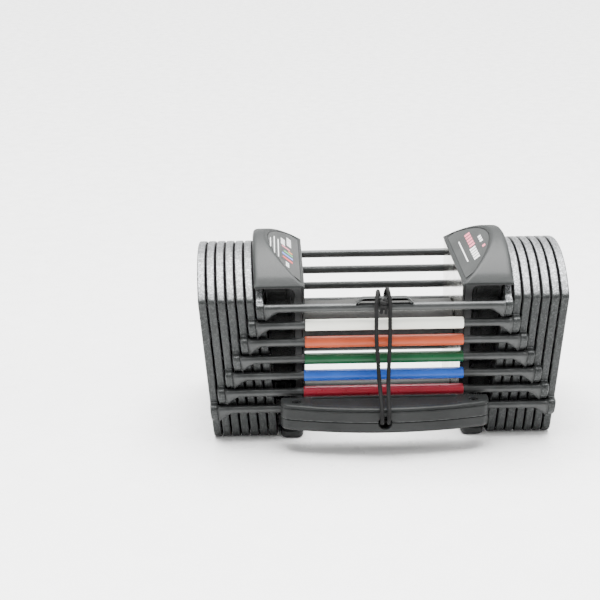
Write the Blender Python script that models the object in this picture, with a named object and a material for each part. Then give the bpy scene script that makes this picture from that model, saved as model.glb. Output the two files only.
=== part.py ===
"""Nested-block adjustable dumbbell, built as separate named sub-parts.

A handle core with two slotted columns stands inside seven nested weights.
Each weight is a left and a right plate joined by a front and a rear rail.
A U-shaped selector pin slides into the column slots under a pair of rails.
Metres, +Z up, X along the dumbbell, front is -Y, floor at Z = 0.
The helper functions take millimetres measured from the plates' middle plane.
"""
import math

import bmesh
import bpy

for item in list(bpy.data.objects):
    bpy.data.objects.remove(item, do_unlink=True)

MM = 0.001
MIDDLE_Y = 10.75               # the plates' middle plane, behind the origin

# ---- driving dimensions, millimetres -------------------------------------
WEIGHT_COUNT = 7
PLATE_OUTER_X = 134.9          # outer face of the outermost plate at the crease
PLATE_PITCH = 6.95             # step from one nested plate to the next
PLATE_THICK = 5.9
PLATE_LEAN = 0.078             # draft of every plate, mm inward per mm down
PLATE_CHAMFER = 0.9
CREASE_Z = 112.0               # where the straight front edge meets the top arc
CREST_Z = 134.0                # top of the plates
CREST_RADIUS = 93.0
HALF_DEPTH_FOOT = 57.0         # half depth of a plate at the floor
DEPTH_DRAFT = 0.0476           # growth of the half depth per mm of height
ARCH_HALF_SPAN = 40.0          # shallow relief between the two feet of a plate
ARCH_RISE = 3.0
ARCH_STATIONS = (12.0, 22.0, 31.0, 38.0)
ARCH_END = 43.0
FOOT_CORNER = 7.0
FOOT_CORNER_ANGLES = (-90, -55, -20)
SHOULDER_STATIONS = (60.6, 56.5, 48.0, 37.0, 25.0, 12.5)
SHOULDER_FIRST = (60.4, 111.4)     # shoulder point of the innermost plate
STRAIGHT_TOP_Z = 107.5             # last point on the straight front edge

RAIL_TOP_Z = 106.0             # axis height of the innermost rail
RAIL_PITCH = 13.3
RAIL_RADIUS = 3.05
RAIL_STANDOFF = 3.9            # rail axis in front of the plate edge
WEB_LENGTH = 10.0              # cast web at each rail end
WEB_DROP = 9.9
WEB_HALF_WIDTH = 3.2
BOSS_REACH = 7.2               # how far a plate boss stands out of the edge
BOSS_PROFILE = ((0.0, -9.7), (3.4, -9.2), (6.2, -6.4), (BOSS_REACH, -2.0),
                (BOSS_REACH, 1.2), (5.4, 3.4), (0.0, 4.2))
RAIL_SIDES = 14
JOIN_GAP = 0.3                 # clearance between pieces that touch

SLEEVE_RADIUS = 4.2
SLEEVE_BORE = 3.35
SLEEVE_CHAMFER = 0.5
SLEEVE_HALF = {2: 57.3, 3: 57.7, 4: 58.0, 5: 58.5, 6: 58.9}

CHEEK_X = 57.5                 # inner face of the bright cheek plates
CHEEK_THICK = 1.4
CHEEK_BOTTOM = 6.0
COLUMN_X = 59.3                # inner side of a slotted column
COLUMN_TOP = 119.2
COLUMN_BOTTOM = 5.6
COLUMN_HALF_DEPTH = 47.4       # at the floor
COLUMN_DRAFT = 0.073
COLUMN_CLEAR = 1.2             # gap between a column and the innermost plate
COLUMN_CHAMFER = 0.6
CHEEK_CORNER = 4.0
SLOT_ROOT_X = 65.5
SLOT_HEIGHT = 7.6

FOOT_HEIGHT = 5.2
FOOT_HALF_DEPTH = 58.2
FOOT_X0 = 59.3
FOOT_X1 = 76.0
FOOT_PAD_CORNER = 5.0
FOOT_PAD_CHAMFER = 1.2

CAP_BOTTOM = 119.5
CAP_CREST = 143.2
CAP_RADIUS = 100.0
CAP_STATIONS = (0.0, 14.0, 26.0, 37.0, 46.0, 53.0, 57.0)
CAP_NOSE = ((59.6, 122.9), (60.7, 121.6))
CAP_HALF_DEPTH = 61.0
CAP_FACET_Z = 120.2            # facet height at the inner edge
CAP_FACET_SLOPE = 0.80
CAP_EDGE_ROUND = 1.6
CAP_OVERHANG = 0.35            # cap past the outer face of the innermost plate
CAP_PLATE_GAP = 0.8            # space between the plate's top and the cap
CAP_WALL_GAP = 0.6
LABEL_THICK = 0.5
LABEL_INSET = 3.4
LABEL_STATIONS = (-52.0, -47.0, -40.0, -31.0, -22.0, 22.0, 31.0, 40.0, 47.0, 52.0)
LABEL_END_Y = 56.0
LABEL_REACH_X = 82.5

TUBE_Z = 14.0                  # spacer tube low between the cheeks
TUBE_RADIUS = 8.5
TUBE_BORE = 6.0

GRIP_Z = 73.0
GRIP_RADIUS = 15.5
GRIP_CORE_RADIUS = 9.0
GRIP_HALF = 57.1
GRIP_SWELL = ((-1.0, -1.2), (-0.985, 0.0), (-0.6, -0.5), (0.0, 0.9),
              (0.6, -0.5), (0.985, 0.0), (1.0, -1.2))

PIN_Z = RAIL_TOP_Z - 5.5 * RAIL_PITCH   # slot between the last two rails
PRONG_RADIUS = 2.8
PRONG_X = 71.0
PRONG_BACK_Y = 72.0
HANDLE_HALF = 76.0
HANDLE_BACK_Y = -70.0
HANDLE_END_Y = -83.0
HANDLE_BOW = 10.5
HANDLE_BOTTOM = 17.6
HANDLE_SPLIT = 26.9
HANDLE_TOP = 38.0
HANDLE_LEDGE = 37.0
HANDLE_RIM = 38.6              # raised back edge over the middle length
HANDLE_RIM_THICK = 1.6
HANDLE_LEDGE_HALF = 53.0
HANDLE_END_ROUND = 5.0
HANDLE_STATIONS = (-76.0, -75.3, -73.5, -71.0, -54.0, -52.0, -38.0, -22.0, 0.0,
                   22.0, 38.0, 52.0, 54.0, 71.0, 73.5, 75.3, 76.0)
HANDLE_TOP_ROUND = 2.0
HANDLE_SEAM_ROUND = 0.5
HANDLE_BOTTOM_ROUND = 2.2
PRONG_SEAT = 8.0               # how deep a prong sits in the handle
PRONG_FIT = 0.35
CORD_HOLE_RADIUS = 4.6
CORD_HOLE_DEPTH = 9.0
SCREW_X = 64.5
SCREW_Y = -77.5
SCREW_RADIUS = 2.6
SCREW_CLEAR = 0.6
SCREW_RECESS = 2.6             # depth of the recess below the handle's top
SCREW_EDGE_Z = 1.4
SCREW_HEAD_Z = 1.9

BAIL_HALF = 16.6
BAIL_FOOT_RUN = 4.2
BAIL_THICK = 1.1
BAIL_HALF_WIDTH = 2.6
BAIL_RISE = 4.4                # top of the bail above the rail surface
BAIL_FOOT_PAD = 1.8
CORD_RADIUS = 1.5
CORD_SPREAD = 4.9              # half distance between the two strands
CORD_SHIFT = -1.5              # the strands hang a little to the left
CORD_HOLE_X = -1.0
CORD_FRONT_Y = -72.6
CORD_POINTS = 72
KNOT_HALF = (2.8, 2.6, 4.4)    # half sizes along X, Y and Z
KNOT_OUT = 0.3                 # knot centre in front of the strands
KNOT_RISE = 4.6                # knot centre above the rail axis
KNOT_LATITUDES = (-78, -52, -26, 0, 26, 52, 78)
KNOT_SIDES = 14


def plate_half_depth(z):
    """Half depth of the plates at height z."""
    return HALF_DEPTH_FOOT + DEPTH_DRAFT * z


def plate_outer_x(weight, z):
    """Distance of a plate's outer face from the middle plane."""
    top = PLATE_OUTER_X - (WEIGHT_COUNT - weight) * PLATE_PITCH
    return top - (CREASE_Z - z) * PLATE_LEAN


def plate_inner_x(weight, z):
    """Distance of a plate's inner face from the middle plane."""
    return plate_outer_x(weight, z) - PLATE_THICK


def rail_z(weight):
    """Axis height of a weight's rails."""
    return RAIL_TOP_Z - (weight - 1) * RAIL_PITCH


def rail_y(weight):
    """Distance of a rail axis in front of the middle plane."""
    return plate_half_depth(rail_z(weight)) + RAIL_STANDOFF


def material(name, colour, metallic, roughness):
    """Principled material with one colour."""
    mat = bpy.data.materials.get(name)
    if mat is None:
        mat = bpy.data.materials.new(name)
        mat.use_nodes = True
        shader = mat.node_tree.nodes["Principled BSDF"]
        shader.inputs["Base Color"].default_value = (*colour, 1.0)
        shader.inputs["Metallic"].default_value = metallic
        shader.inputs["Roughness"].default_value = roughness
        mat.diffuse_color = (*colour, 1.0)
    return mat


COAT = ("powder_coat", (0.13, 0.135, 0.135), 0.55, 0.42)
ROD = ("black_rod", (0.05, 0.05, 0.052), 0.6, 0.3)
COLUMN = ("black_nylon", (0.015, 0.016, 0.016), 0.0, 0.5)
CHEEK = ("polished_cheek", (0.3, 0.3, 0.29), 0.9, 0.15)
CAP = ("grey_cap", (0.11, 0.112, 0.11), 0.0, 0.5)
LABEL = ("grey_label", (0.16, 0.165, 0.16), 0.0, 0.4)
GRIP = ("grip_rubber", (0.16, 0.16, 0.15), 0.0, 0.75)
STEEL = ("bare_steel", (0.45, 0.45, 0.44), 1.0, 0.3)
HANDLE = ("pin_plastic", (0.075, 0.078, 0.077), 0.0, 0.45)
CORD = ("braided_cord", (0.02, 0.02, 0.02), 0.0, 0.8)
SLEEVE_LOOK = {
    2: ("sleeve_white", (0.82, 0.83, 0.78), 0.0, 0.35),
    3: ("sleeve_orange", (0.66, 0.16, 0.07), 0.0, 0.35),
    4: ("sleeve_green", (0.015, 0.16, 0.05), 0.0, 0.35),
    5: ("sleeve_blue", (0.03, 0.13, 0.52), 0.0, 0.35),
    6: ("sleeve_red", (0.42, 0.02, 0.045), 0.0, 0.35),
}


def add_mesh(name, verts, faces, look):
    """Object from millimetre points and faces, normals outward."""
    mesh = bpy.data.meshes.new(name)
    place = [(x * MM, (y + MIDDLE_Y) * MM, z * MM) for x, y, z in verts]
    mesh.from_pydata(place, [], faces)
    work = bmesh.new()
    work.from_mesh(mesh)
    bmesh.ops.recalc_face_normals(work, faces=work.faces)
    work.to_mesh(mesh)
    work.free()
    obj = bpy.data.objects.new(name, mesh)
    bpy.context.scene.collection.objects.link(obj)
    obj.data.materials.append(material(*look))
    return obj


def loft(name, rings, look):
    """Closed solid through equal-sized rings, flat ends."""
    count = len(rings[0])
    verts = [point for ring in rings for point in ring]
    faces = [tuple(range(count))]
    for row in range(len(rings) - 1):
        for i in range(count):
            j = (i + 1) % count
            a = row * count
            b = a + count
            faces.append((a + i, a + j, b + j, b + i))
    last = (len(rings) - 1) * count
    faces.append(tuple(last + i for i in reversed(range(count))))
    return add_mesh(name, verts, faces, look)


def tube(name, rings_outer, rings_inner, look):
    """Closed tube from matching outer and inner rings."""
    count = len(rings_outer[0])
    rows = rings_outer + rings_inner[::-1]
    verts = [point for ring in rows for point in ring]
    faces = []
    for row in range(len(rows)):
        nxt = (row + 1) % len(rows)
        for i in range(count):
            j = (i + 1) % count
            faces.append((row * count + i, row * count + j,
                          nxt * count + j, nxt * count + i))
    return add_mesh(name, verts, faces, look)


def circle_x(x, y, z, radius, count):
    """Ring of points round an axis along X."""
    step = 2 * math.pi / count
    return [(x, y + radius * math.cos(i * step), z + radius * math.sin(i * step))
            for i in range(count)]


def circle_y(x, y, z, radius, count):
    """Ring of points round an axis along Y."""
    step = 2 * math.pi / count
    return [(x + radius * math.cos(i * step), y, z + radius * math.sin(i * step))
            for i in range(count)]


def circle_z(x, y, z, radius, count):
    """Ring of points round an axis along Z."""
    step = 2 * math.pi / count
    return [(x + radius * math.cos(i * step), y + radius * math.sin(i * step), z)
            for i in range(count)]


def inset(points, distance):
    """Move every point of a closed outline inward by a distance."""
    count = len(points)
    moved = []
    for i in range(count):
        ax, ay = points[i - 1]
        bx, by = points[i]
        cx, cy = points[(i + 1) % count]
        d1 = math.hypot(bx - ax, by - ay)
        d2 = math.hypot(cx - bx, cy - by)
        n1 = (-(by - ay) / d1, (bx - ax) / d1)
        n2 = (-(cy - by) / d2, (cx - bx) / d2)
        mx = n1[0] + n2[0]
        my = n1[1] + n2[1]
        scale = max(mx * n1[0] + my * n1[1], 0.8)
        moved.append((bx + mx * distance / scale, by + my * distance / scale))
    return moved


def arc_height(crest, radius, y):
    """Height of the top arc at depth y."""
    return crest - radius + math.sqrt(radius * radius - y * y)


def plate_outline(weight):
    """Side outline of a plate, anticlockwise in (depth, height)."""
    axis = rail_z(weight)
    half = []
    arch_radius = (ARCH_HALF_SPAN ** 2 + ARCH_RISE ** 2) / (2 * ARCH_RISE)
    for u in ARCH_STATIONS:
        drop = arch_radius - math.sqrt(arch_radius ** 2 - u * u)
        half.append((u, ARCH_RISE - drop))
    half.append((ARCH_END, 0.0))
    corner_x = HALF_DEPTH_FOOT + JOIN_GAP
    for degrees in FOOT_CORNER_ANGLES:
        turn = math.radians(degrees)
        half.append((corner_x - FOOT_CORNER + FOOT_CORNER * math.cos(turn),
                     FOOT_CORNER + FOOT_CORNER * math.sin(turn)))
    for reach, rise in BOSS_PROFILE:
        z = axis + rise
        half.append((plate_half_depth(z) + reach, z))
    if weight > 1:
        half.append((plate_half_depth(STRAIGHT_TOP_Z), STRAIGHT_TOP_Z))
    for u in SHOULDER_STATIONS:
        half.append((u, arc_height(CREST_Z, CREST_RADIUS, u)))
    if weight == 1:
        half[-len(SHOULDER_STATIONS)] = SHOULDER_FIRST
    front = [(-u, z) for u, z in reversed(half)]
    return [(0.0, ARCH_RISE)] + half + [(0.0, CREST_Z)] + front


def build_plate(weight, side, name):
    """Leaning cast plate with a boss for each rail."""
    outline = plate_outline(weight)
    small = inset(outline, PLATE_CHAMFER)
    rows = ((0.0, small), (PLATE_CHAMFER, outline),
            (PLATE_THICK - PLATE_CHAMFER, outline), (PLATE_THICK, small))
    rings = []
    for depth, points in rows:
        rings.append([(side * (plate_outer_x(weight, z) - depth), y, z)
                      for y, z in points])
    return loft(name, rings, COAT)


def web_ring(weight, side, facing, run, count):
    """Section of a rail: round on top, drawn down into the web near its end."""
    share = max(1.0 - run / WEB_LENGTH, 0.0)
    drop = RAIL_RADIUS + (WEB_DROP - RAIL_RADIUS) * share
    width = RAIL_RADIUS + (WEB_HALF_WIDTH - RAIL_RADIUS) * min(3 * share, 1.0)
    ring = []
    for i in range(count):
        turn = 2 * math.pi * i / count
        up = math.sin(turn)
        z = rail_z(weight) + (RAIL_RADIUS * up if up > 0 else drop * up)
        y = facing * rail_y(weight) + width * math.cos(turn)
        x = plate_inner_x(weight, z) - JOIN_GAP - run
        ring.append((side * x, y, z))
    return ring


def build_rail(weight, facing, name):
    """Round rail with a cast web at each end."""
    runs = (0.0, 3.5, 7.0, WEB_LENGTH)
    rings = [web_ring(weight, -1, facing, run, RAIL_SIDES) for run in runs]
    rings += [web_ring(weight, 1, facing, run, RAIL_SIDES)
              for run in reversed(runs)]
    return loft(name, rings, ROD)


def build_sleeve(weight, name):
    """Coloured tube round the middle of a front rail."""
    y = -rail_y(weight)
    z = rail_z(weight)
    half = SLEEVE_HALF[weight]
    cut = SLEEVE_CHAMFER
    stations = ((-half, cut), (-half + cut, 0.0), (half - cut, 0.0), (half, cut))
    outer = [circle_x(x, y, z, SLEEVE_RADIUS - less, 20) for x, less in stations]
    inner = [circle_x(x, y, z, SLEEVE_BORE, 20) for x in (-half, half)]
    return tube(name, outer, inner, SLEEVE_LOOK[weight])


def column_half_depth(z):
    """Half depth of the columns and cheeks at height z."""
    return COLUMN_HALF_DEPTH + COLUMN_DRAFT * z


def column_outline():
    """Comb outline of a column, anticlockwise in (outward, height)."""
    def outer(z):
        return plate_inner_x(1, z) - COLUMN_CLEAR

    points = [(COLUMN_X, COLUMN_BOTTOM), (outer(COLUMN_BOTTOM), COLUMN_BOTTOM)]
    slot = RAIL_TOP_Z - (WEIGHT_COUNT - 0.5) * RAIL_PITCH
    end = SLOT_HEIGHT / 2
    for _ in range(WEIGHT_COUNT + 1):
        low = slot - end
        high = slot + end
        points.append((outer(low), low))
        for degrees in (-90, -30, 30, 90):
            turn = math.radians(degrees)
            points.append((SLOT_ROOT_X + end - end * math.cos(turn),
                           slot + end * math.sin(turn)))
        points.append((outer(high), high))
        slot += RAIL_PITCH
    points += [(outer(COLUMN_TOP), COLUMN_TOP), (COLUMN_X, COLUMN_TOP)]
    return points


def build_column(side, name):
    """Slotted nylon column, slots open towards the plates."""
    outline = column_outline()
    small = inset(outline, COLUMN_CHAMFER)
    rings = []
    for share, cut, points in ((-1, 0.0, small), (-1, COLUMN_CHAMFER, outline),
                               (1, COLUMN_CHAMFER, outline), (1, 0.0, small)):
        rings.append([(side * x, share * (column_half_depth(z) - cut), z)
                      for x, z in points])
    return loft(name, rings, COLUMN)


def build_cheek(side, name):
    """Thin bright plate on the hand side of a column."""
    top = COLUMN_TOP
    low = CHEEK_BOTTOM
    rise = low + CHEEK_CORNER
    rings = []
    for x in (CHEEK_X, CHEEK_X + CHEEK_THICK):
        rings.append([(side * x, -column_half_depth(low) + CHEEK_CORNER, low),
                      (side * x, column_half_depth(low) - CHEEK_CORNER, low),
                      (side * x, column_half_depth(rise), rise),
                      (side * x, column_half_depth(top), top),
                      (side * x, -column_half_depth(top), top),
                      (side * x, -column_half_depth(rise), rise)])
    return loft(name, rings, CHEEK)


def build_foot(side, name):
    """Rounded pad under a column."""
    rings = []
    x0 = FOOT_X0 + FOOT_PAD_CORNER
    x1 = FOOT_X1 - FOOT_PAD_CORNER
    y1 = FOOT_HALF_DEPTH - FOOT_PAD_CORNER
    corners = ((x1, y1, 0), (x0, y1, 90), (x0, -y1, 180), (x1, -y1, 270))
    for cut, z in ((FOOT_PAD_CHAMFER, 0.0), (0.0, FOOT_PAD_CHAMFER),
                   (0.0, FOOT_HEIGHT)):
        ring = []
        radius = FOOT_PAD_CORNER - cut
        for cx, cy, start in corners:
            for degrees in (0, 45, 90):
                turn = math.radians(start + degrees)
                ring.append((side * (cx + radius * math.cos(turn)),
                             cy + radius * math.sin(turn), z))
        rings.append(ring)
    return loft(name, rings, COLUMN)


def cap_top_points():
    """Top outline of a cap in (depth, height), from front to back."""
    half = [(u, arc_height(CAP_CREST, CAP_RADIUS, u)) for u in CAP_STATIONS]
    half += [*CAP_NOSE, (CAP_HALF_DEPTH, CAP_FACET_Z + 0.4)]
    return [(-u, z) for u, z in reversed(half[1:])] + half


def facet_x(z):
    """Where the inclined label facet reaches height z."""
    return CHEEK_X + (z - CAP_FACET_Z) / CAP_FACET_SLOPE


def build_cap(side, name):
    """Hood over a column and the innermost plate."""
    rings = []
    for y, top in cap_top_points():
        over = arc_height(CREST_Z, CREST_RADIUS, y) + CAP_PLATE_GAP
        cut = max(over, CAP_BOTTOM + 0.4)
        step = min(CAP_EDGE_ROUND, 0.3 * (top - CAP_BOTTOM))
        inner = CHEEK_X
        low = min(CAP_FACET_Z, top - 0.3)
        crease = max(facet_x(top), inner + 0.4)
        outer = plate_outer_x(1, top) + CAP_OVERHANG
        wall = plate_inner_x(1, cut) - CAP_WALL_GAP
        cut = min(cut, top - step - 0.1)
        section = [(inner, CAP_BOTTOM), (inner, low), (crease - 0.3, top - 0.24),
                   (crease + 0.5, top), (outer - step, top),
                   (outer - 0.3 * step, top - 0.3 * step), (outer, top - step),
                   (plate_outer_x(1, cut) + CAP_OVERHANG, cut), (wall, cut),
                   (plate_inner_x(1, CAP_BOTTOM) - CAP_WALL_GAP, CAP_BOTTOM)]
        rings.append([(side * x, y, z) for x, z in section])
    return loft(name, rings, CAP)


def build_label(side, name):
    """Thin printed panel on the inclined facet of a cap."""
    low = CHEEK_X + LABEL_INSET
    slope = math.hypot(1.0, CAP_FACET_SLOPE)
    across = []
    for y in LABEL_STATIONS:
        top = arc_height(CAP_CREST, CAP_RADIUS, y)
        across.append((min(facet_x(top) - LABEL_INSET, LABEL_REACH_X), y))
    outline = [(low, -LABEL_END_Y)] + across + [(low, LABEL_END_Y)]
    rings = []
    for lift in (JOIN_GAP, JOIN_GAP + LABEL_THICK):
        ring = []
        for x, y in outline:
            z = CAP_FACET_Z + (x - CHEEK_X) * CAP_FACET_SLOPE
            ring.append((side * (x - lift * CAP_FACET_SLOPE / slope), y,
                         z + lift / slope))
        rings.append(ring)
    return loft(name, rings, LABEL)


def build_grip():
    """Steel core and moulded rubber sleeve between the cheeks."""
    core = [circle_x(x, 0, GRIP_Z, GRIP_CORE_RADIUS, 20)
            for x in (-GRIP_HALF, GRIP_HALF)]
    loft("grip_core", core, STEEL)
    outer = []
    for share, swell in GRIP_SWELL:
        outer.append(circle_x(share * GRIP_HALF, 0, GRIP_Z,
                              GRIP_RADIUS + swell, 28))
    inner = [circle_x(x, 0, GRIP_Z, GRIP_CORE_RADIUS + JOIN_GAP, 28)
             for x in (-GRIP_HALF, GRIP_HALF)]
    tube("grip_sleeve", outer, inner, GRIP)


def build_lower_tube():
    """Spacer tube that ties the two columns together near the floor."""
    ends = (-GRIP_HALF, GRIP_HALF)
    outer = [circle_x(x, 0, TUBE_Z, TUBE_RADIUS, 24) for x in ends]
    inner = [circle_x(x, 0, TUBE_Z, TUBE_BORE, 24) for x in ends]
    tube("lower_tube", outer, inner, ROD)


def handle_front_y(x):
    """Front face of the pin handle, bowed out in the middle."""
    share = x / HANDLE_HALF
    return HANDLE_END_Y - HANDLE_BOW * (1 - share * share)


def handle_ring(x, low, high, round_low, round_high, rim):
    """Section of one handle half at X, rounded on its outer long edge.

    The back edge rises to the rim height, if that is above the top.
    """
    radius = HANDLE_END_ROUND
    end = min(HANDLE_HALF - abs(x), radius)
    pull = radius - math.sqrt(max(radius ** 2 - (radius - end) ** 2, 0.0))
    back = HANDLE_BACK_Y
    front = handle_front_y(x) + pull
    points = [(back, low), (front + round_low, low), (front + 0.3 * round_low,
              low + 0.3 * round_low), (front, low + round_low),
              (front, high - round_high), (front + 0.3 * round_high,
              high - 0.3 * round_high), (front + round_high, high)]
    if rim > high:
        points += [(back - HANDLE_RIM_THICK, high), (back - HANDLE_RIM_THICK, rim)]
    points.append((back, max(rim, high)))
    return [(x, y, z) for y, z in points]


def build_handle_half(name, low, high, round_low, round_high, ledge, rim):
    """Upper or lower half of the bowed pin handle."""
    rings = []
    for x in HANDLE_STATIONS:
        top = ledge if abs(x) < HANDLE_LEDGE_HALF else high
        rings.append(handle_ring(x, low, top, round_low, round_high, rim))
    return loft(name, rings, HANDLE)


def cutter(name, rings):
    """Hidden solid used only for cutting."""
    obj = loft(name, rings, STEEL)
    obj.hide_render = True
    obj.display_type = "WIRE"
    return obj


def cut(target, tool):
    """Exact boolean difference."""
    mod = target.modifiers.new("cut_" + tool.name, "BOOLEAN")
    mod.operation = "DIFFERENCE"
    mod.solver = "EXACT"
    mod.object = tool


def build_pin():
    """Selector pin: two handle halves, two prongs, two screws."""
    upper = build_handle_half("pin_handle_upper", HANDLE_SPLIT, HANDLE_TOP,
                              HANDLE_SEAM_ROUND, HANDLE_TOP_ROUND, HANDLE_LEDGE,
                              HANDLE_RIM)
    lower = build_handle_half("pin_handle_lower", HANDLE_BOTTOM,
                              HANDLE_SPLIT - JOIN_GAP, HANDLE_BOTTOM_ROUND,
                              HANDLE_SEAM_ROUND, HANDLE_SPLIT - JOIN_GAP, 0.0)
    seat_y = HANDLE_BACK_Y - PRONG_SEAT
    for side, word in ((-1, "left"), (1, "right")):
        bore = cutter("bore_" + word,
                      [circle_y(side * PRONG_X, y, PIN_Z, PRONG_RADIUS + PRONG_FIT, 16)
                       for y in (seat_y - 0.4, HANDLE_BACK_Y + 2.0)])
        cut(upper, bore)
        rings = []
        for y, radius in ((seat_y, PRONG_RADIUS), (PRONG_BACK_Y - 4, PRONG_RADIUS),
                          (PRONG_BACK_Y - 1, 2.0), (PRONG_BACK_Y, 1.0)):
            rings.append(circle_y(side * PRONG_X, y, PIN_Z, radius, 16))
        loft("pin_prong_" + word, rings, STEEL)
        floor = HANDLE_TOP - SCREW_RECESS
        well = SCREW_RADIUS + SCREW_CLEAR
        recess = cutter("recess_" + word,
                        [circle_z(side * SCREW_X, SCREW_Y, z, well, 16)
                         for z in (floor, HANDLE_TOP + 1.0)])
        cut(upper, recess)
        head = [circle_z(side * SCREW_X, SCREW_Y, z, radius, 16)
                for z, radius in ((floor + JOIN_GAP, SCREW_RADIUS),
                                  (floor + SCREW_EDGE_Z, SCREW_RADIUS),
                                  (floor + SCREW_HEAD_Z,
                                   SCREW_RADIUS - SCREW_CLEAR))]
        loft("pin_screw_" + word, head, STEEL)
    mouth = handle_front_y(0.0)
    hole = cutter("bore_cord",
                  [circle_y(CORD_HOLE_X, y, HANDLE_SPLIT - JOIN_GAP / 2,
                            CORD_HOLE_RADIUS, 20)
                   for y in (mouth - 3.0, mouth + CORD_HOLE_DEPTH)])
    cut(upper, hole)
    cut(lower, hole)


def build_bail():
    """Bent strap standing on the innermost front rail, holds the cord."""
    y = -rail_y(1)
    low = rail_z(1) + RAIL_RADIUS + JOIN_GAP
    high = rail_z(1) + RAIL_RADIUS + BAIL_RISE
    foot = BAIL_HALF + BAIL_FOOT_RUN
    toe = foot - BAIL_FOOT_PAD
    outline = [(-foot, low), (-toe, low), (-BAIL_HALF + 1.0, high - BAIL_THICK),
               (BAIL_HALF - 1.0, high - BAIL_THICK), (toe, low), (foot, low),
               (BAIL_HALF + 0.2, high), (-BAIL_HALF - 0.2, high)]
    rings = [[(x, y + share * BAIL_HALF_WIDTH, z) for x, z in outline]
             for share in (-1, 1)]
    loft("cord_bail", rings, ROD)
    return high


def smooth_path(controls, count):
    """Evenly spaced points on a smooth curve through the control points."""
    pts = [controls[0]] + list(controls) + [controls[-1]]
    dense = []
    for i in range(1, len(pts) - 2):
        p0, p1, p2, p3 = pts[i - 1:i + 3]
        for step in range(24):
            t = step / 24.0
            point = []
            for a, b, c, d in zip(p0, p1, p2, p3):
                point.append(0.5 * (2 * b + (c - a) * t
                                    + (2 * a - 5 * b + 4 * c - d) * t * t
                                    + (3 * b - a - 3 * c + d) * t ** 3))
            dense.append(tuple(point))
    dense.append(tuple(controls[-1]))
    length = [0.0]
    for a, b in zip(dense, dense[1:]):
        length.append(length[-1] + math.dist(a, b))
    result = []
    spot = 0
    for i in range(count):
        want = length[-1] * i / (count - 1)
        while spot < len(dense) - 2 and length[spot + 1] < want:
            spot += 1
        span = length[spot + 1] - length[spot]
        t = (want - length[spot]) / span
        result.append(tuple(a + (b - a) * t
                            for a, b in zip(dense[spot], dense[spot + 1])))
    return result


def cord_controls(bail_top):
    """Cord route: knot, round the bail, down into the handle, and back up.

    The first half is written for the left strand, as the distance from the
    middle between the strands. The right strand repeats it the other way,
    and its loop over the bail stands a little higher.
    """
    axis_y = -rail_y(1)
    under = rail_z(1) + RAIL_RADIUS + (BAIL_RISE - BAIL_THICK) / 2
    over = bail_top + CORD_RADIUS + 1.4
    mouth = handle_front_y(0.0)
    seam = HANDLE_SPLIT - JOIN_GAP / 2
    half = [(1.9, axis_y - 3.5, under, 0.0), (1.8, axis_y - 2.0, under, 0.0),
            (1.7, axis_y + 0.8, under, 0.0), (2.0, axis_y + 4.2, under + 0.3, 0.0),
            (2.5, axis_y + 6.2, under + 3.0, 0.3), (3.0, axis_y + 4.8, over - 0.4, 0.8),
            (3.5, axis_y + 1.4, over + 0.7, 1.6), (4.0, axis_y - 2.2, over - 0.5, 1.4),
            (4.6, axis_y - 5.2, over - 3.8, 0.6),
            (4.9, CORD_FRONT_Y, rail_z(1) + 2.0, 0.0),
            (CORD_SPREAD, CORD_FRONT_Y, 97.0, 0.0),
            (CORD_SPREAD, CORD_FRONT_Y - 0.6, 84.0, 0.0),
            (4.2, CORD_FRONT_Y - 2.6, 71.0, 0.0), (3.3, CORD_FRONT_Y - 7.2, 54.0, 0.0),
            (2.7, mouth + 3.6, 43.0, 0.0), (2.5, mouth - 2.6, 36.6, 0.0),
            (2.4, mouth - 3.6, 31.4, 0.0), (2.3, mouth - 1.8, 27.8, 0.0),
            (2.2, mouth + 2.5, seam, 0.0)]
    left = []
    right = []
    for spread, y, z, lift in half:
        share = min(max((z - seam) / (rail_z(1) - seam), 0.0), 1.0)
        middle = CORD_HOLE_X + (CORD_SHIFT - CORD_HOLE_X) * share
        left.append((middle - spread, y, z))
        right.append((middle + spread, y, z + lift))
    turn = [(CORD_HOLE_X, mouth + 4.9, seam)]
    return left + turn + right[::-1]


def build_cord(bail_top):
    """Elastic cord tube and its knot."""
    path = smooth_path(cord_controls(bail_top), CORD_POINTS)
    curve = bpy.data.curves.new("pin_cord", "CURVE")
    curve.dimensions = "3D"
    curve.bevel_depth = CORD_RADIUS * MM
    curve.bevel_resolution = 2
    curve.use_fill_caps = True
    line = curve.splines.new("POLY")
    line.points.add(len(path) - 1)
    for point, (x, y, z) in zip(line.points, path):
        point.co = (x * MM, (y + MIDDLE_Y) * MM, z * MM, 1.0)
    obj = bpy.data.objects.new("pin_cord", curve)
    bpy.context.scene.collection.objects.link(obj)
    obj.data.materials.append(material(*CORD))
    return path


def build_knot():
    """Knot in front of the rail, between the two strands."""
    wide, deep, tall = KNOT_HALF
    centre_y = CORD_FRONT_Y - KNOT_OUT
    centre_z = rail_z(1) + KNOT_RISE
    rings = []
    for degrees in KNOT_LATITUDES:
        turn = math.radians(degrees)
        ring = []
        for i in range(KNOT_SIDES):
            spin = 2 * math.pi * i / KNOT_SIDES
            ring.append((CORD_SHIFT + wide * math.cos(turn) * math.cos(spin),
                         centre_y + deep * math.cos(turn) * math.sin(spin),
                         centre_z + tall * math.sin(turn)))
        rings.append(ring)
    loft("cord_knot", rings, CORD)


def build_weights():
    """Seven nested weights, innermost first."""
    for weight in range(1, WEIGHT_COUNT + 1):
        tag = "weight_%d_" % weight
        build_plate(weight, -1, tag + "left_plate")
        build_plate(weight, 1, tag + "right_plate")
        build_rail(weight, -1, tag + "front_rail")
        build_rail(weight, 1, tag + "rear_rail")
    names = {2: "white", 3: "orange", 4: "green", 5: "blue", 6: "red"}
    for weight, colour in names.items():
        build_sleeve(weight, "sleeve_" + colour)


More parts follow.
